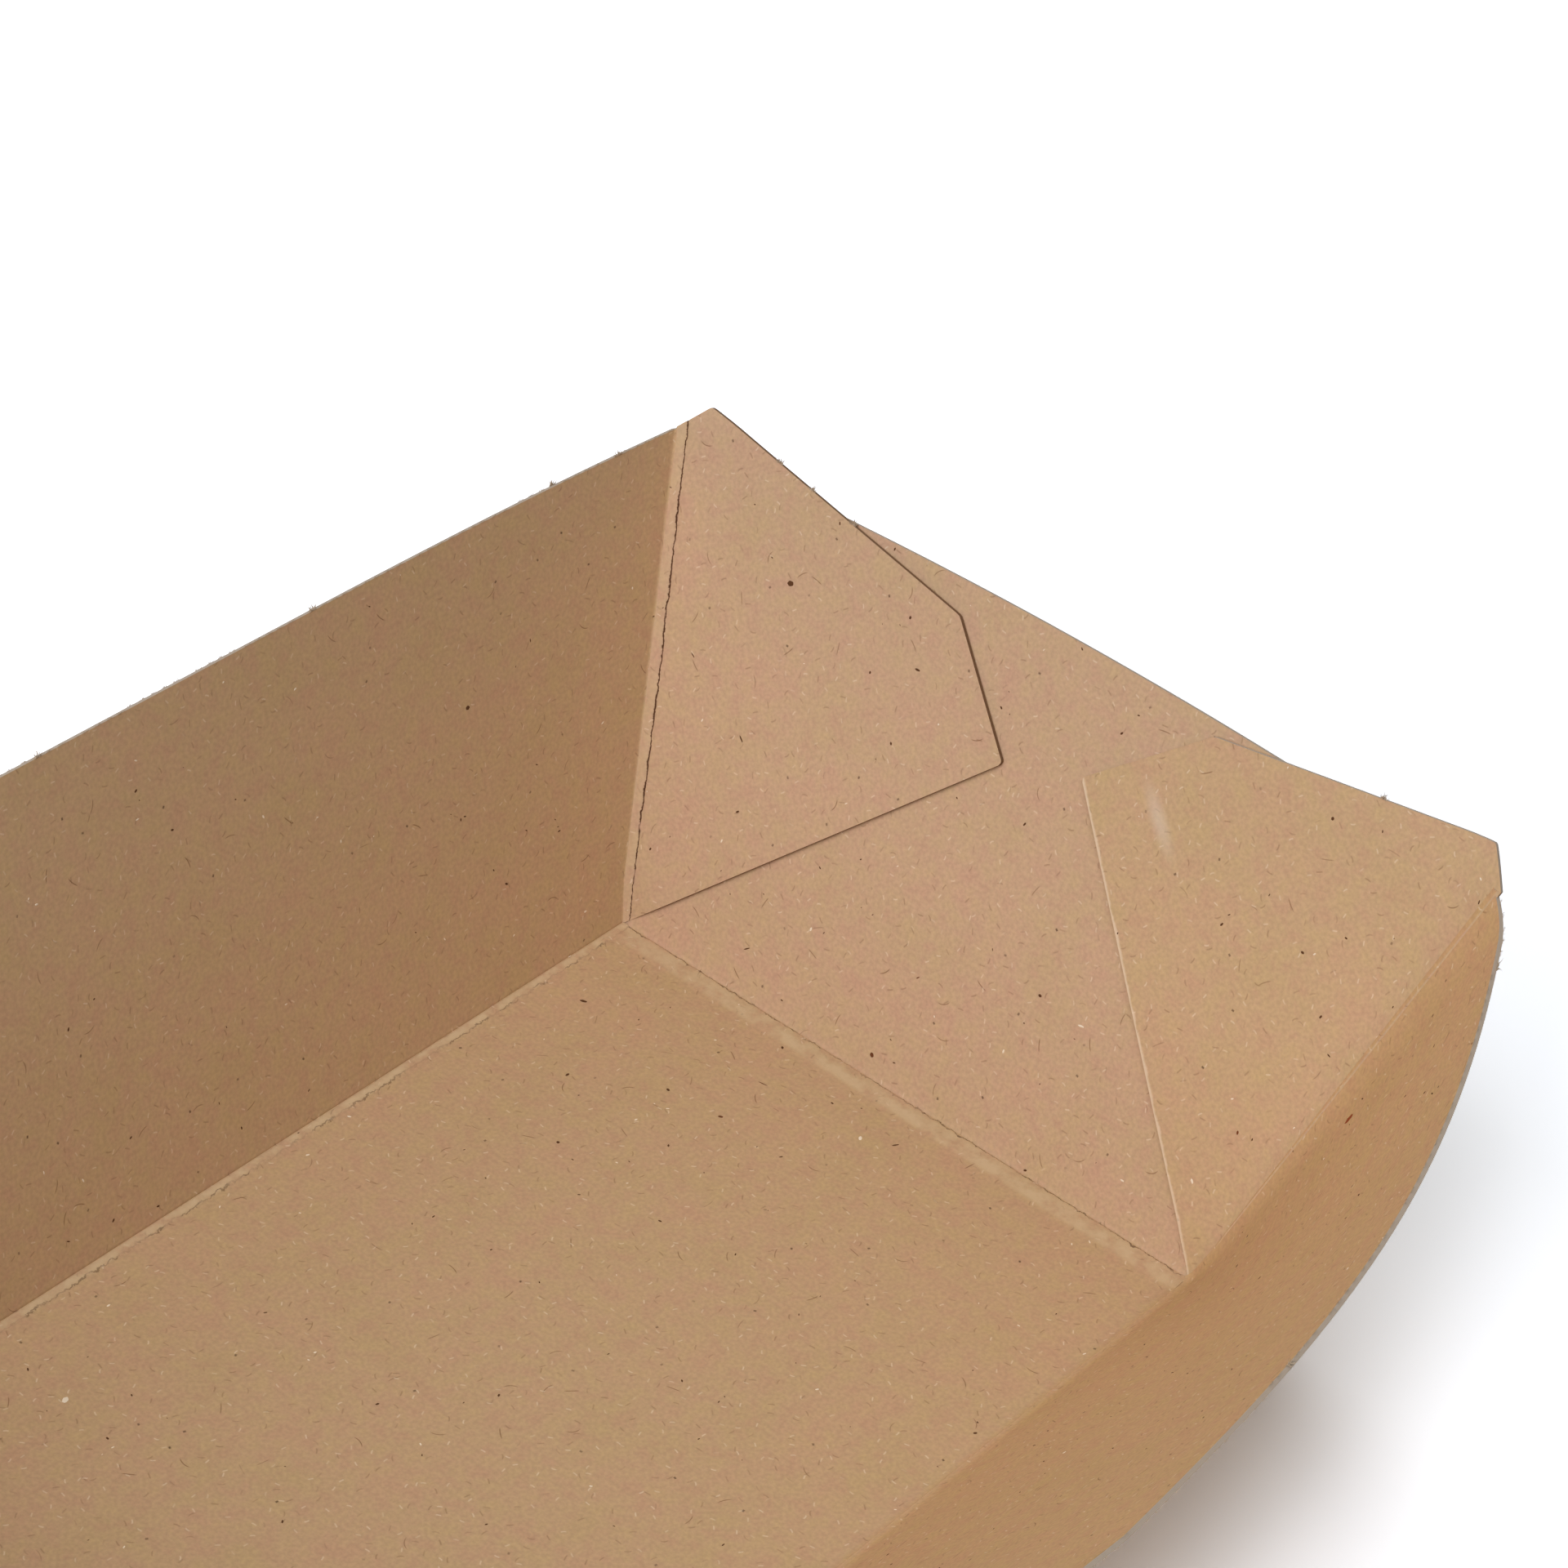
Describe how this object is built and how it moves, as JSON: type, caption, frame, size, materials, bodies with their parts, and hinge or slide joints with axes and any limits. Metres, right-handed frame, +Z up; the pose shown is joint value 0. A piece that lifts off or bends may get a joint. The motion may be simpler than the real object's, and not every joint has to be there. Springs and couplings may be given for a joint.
{
  "type": "food tray",
  "caption": "Open kraft board food tray folded from one sheet, with flared walls, bowed long sides and glued corner flaps inside the end walls.",
  "frame": {"origin": "centre of the base's underside, midway between its four folds", "axes": "+X along the tray towards the pictured end wall, +Y towards the upright long wall, +Z up"},
  "size_m": [0.1664, 0.1212, 0.0505],
  "materials": {
    "kraft_board": "matte unbleached kraft board"
  },
  "bodies": {
    "root": {"tray": "kraft_board"}
  },
  "joints": []
}
